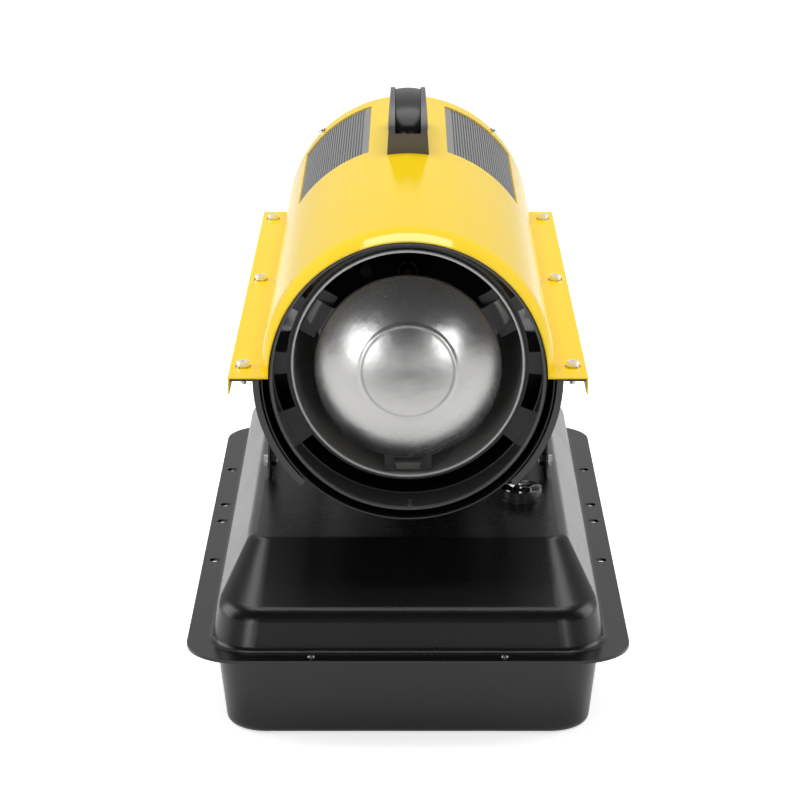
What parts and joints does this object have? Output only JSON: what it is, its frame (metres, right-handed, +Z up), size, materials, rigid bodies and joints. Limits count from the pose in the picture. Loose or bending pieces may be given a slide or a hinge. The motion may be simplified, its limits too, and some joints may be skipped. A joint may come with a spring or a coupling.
{
  "type": "forced air heater",
  "caption": "Portable oil-fired forced air heater: a round barrel with fan, burner and outlet dome over a pressed fuel tank.",
  "frame": {"origin": "middle of the fuel tank's flat underside", "axes": "+Z up, the hot outlet faces -Y, +X on the right of someone looking into the outlet"},
  "size_m": [0.32, 0.605, 0.4057],
  "materials": {
    "bearing_steel": "bright",
    "board_green": "gloss",
    "bracket_black": "matte",
    "cap_plastic": "satin",
    "cast_alloy": "cast",
    "ceramic_white": "gloss",
    "chamber_steel": "satin",
    "clear_lens": "clear",
    "display_glass": "tinted",
    "dome_steel": "satin",
    "fan_alloy": "satin",
    "filter_felt": "felt",
    "float_plastic": "matte",
    "gauge_black": "satin",
    "guide_plastic": "matte",
    "handle_plastic": "satin",
    "hose_rubber": "matte",
    "lead_sleeve": "satin",
    "motor_steel": "satin",
    "nozzle_brass": "bright",
    "panel_plastic": "satin",
    "pickup_metal": "satin",
    "pointer_red": "gloss",
    "pump_carbon": "matte",
    "ring_black": "satin",
    "rivet_metal": "bright",
    "rotor_steel": "ground",
    "seal_rubber": "matte",
    "shell_black": "gloss",
    "shell_yellow": "gloss",
    "stator_iron": "laminated",
    "strainer_plastic": "matte",
    "support_grey": "satin",
    "switch_red": "gloss",
    "tank_enamel": "gloss",
    "vent_black": "satin",
    "zinc_plate": "bright"
  },
  "bodies": {
    "root": {"burner_head": "chamber_steel", "cable_gland": "panel_plastic", "chamber_tube": "chamber_steel", "circuit_board": "board_green", "control_box": "tank_enamel", "control_panel": "panel_plastic", "display_window": "display_glass", "dome_brackets": "bracket_black", "drain_plug": "zinc_plate", "fan_guard": "vent_black", "filler_neck": "zinc_plate", "filler_strainer": "strainer_plastic", "filter_cover": "cast_alloy", "flame_dome": "dome_steel", "fuel_nozzle": "nozzle_brass", "fuel_pickup": "pickup_metal", "gauge_body": "gauge_black", "gauge_guide": "guide_plastic", "gauge_lens": "clear_lens", "handle": "handle_plastic", "hose_clamps": "guide_plastic", "hoses": "hose_rubber", "ignition_transformer": "guide_plastic", "leads": "lead_sleeve", "lock_washers": "zinc_plate", "lower_shell": "shell_black", "motor_bearings": "bearing_steel", "motor_bells": "cast_alloy", "motor_case": "motor_steel", "motor_mount": "support_grey", "motor_stator": "stator_iron", "nozzle_holder": "cast_alloy", "nuts": "zinc_plate", "outlet_ring": "ring_black", "pan_screws": "zinc_plate", "photocell": "guide_plastic", "pump_body": "cast_alloy", "pump_cover": "cast_alloy", "pump_filters": "filter_felt", "rivets": "rivet_metal", "screws": "zinc_plate", "shell_grommets": "seal_rubber", "side_support_left": "support_grey", "side_support_right": "support_grey", "spark_electrodes": "ceramic_white", "tank_lower_half": "tank_enamel", "tank_seals": "seal_rubber", "tank_upper_half": "tank_enamel", "upper_shell": "shell_yellow", "vent_grille_left": "vent_black", "vent_grille_right": "vent_black"},
    "fan_rotor": {"motor_rotor": "rotor_steel", "fan": "fan_alloy", "pump_rotor": "pump_carbon"},
    "switch_rocker": {"power_switch": "switch_red"},
    "heat_knob": {"thermostat_knob": "cap_plastic"},
    "fuel_plug": {"filler_plug": "cap_plastic"},
    "fuel_cap": {"filler_cap": "cap_plastic"},
    "fuel_float": {"gauge_float": "float_plastic"},
    "gauge_pointer": {"gauge_spindle": "pointer_red"}
  },
  "joints": [
    {"name": "fan_spin", "type": "hinge", "parent": "root", "child": "fan_rotor", "pos_m": [0, 0, 0.2619], "axis": [0, 1, 0], "continuous": true},
    {"name": "switch_rock", "type": "hinge", "parent": "root", "child": "switch_rocker", "pos_m": [0.082, 0.2295, 0.1637], "axis": [1, 0, 0], "range_deg": [-16, 0]},
    {"name": "knob_turn", "type": "hinge", "parent": "root", "child": "heat_knob", "pos_m": [0.082, 0.235, 0.1417], "axis": [0, 1, 0], "range_deg": [0, 270]},
    {"name": "plug_lift", "type": "slide", "parent": "root", "child": "fuel_plug", "axis": [0, 0, 1], "range_m": [0, 0.015]},
    {"name": "cap_turn", "type": "hinge", "parent": "fuel_plug", "child": "fuel_cap", "pos_m": [-0.082, 0.13, 0.1415], "axis": [0, 0, 1], "range_deg": [0, 90]},
    {"name": "float_rise", "type": "slide", "parent": "root", "child": "fuel_float", "axis": [0, 0, 1], "range_m": [0, 0.075]},
    {"name": "pointer_turn", "type": "hinge", "parent": "root", "child": "gauge_pointer", "pos_m": [0.087, -0.109, 0.1], "axis": [0, 0, 1], "range_deg": [0, 271]}
  ],
  "couplings": [
    {"joint": "pointer_turn", "follows": "float_rise", "rad_per_m": 62.83}
  ]
}
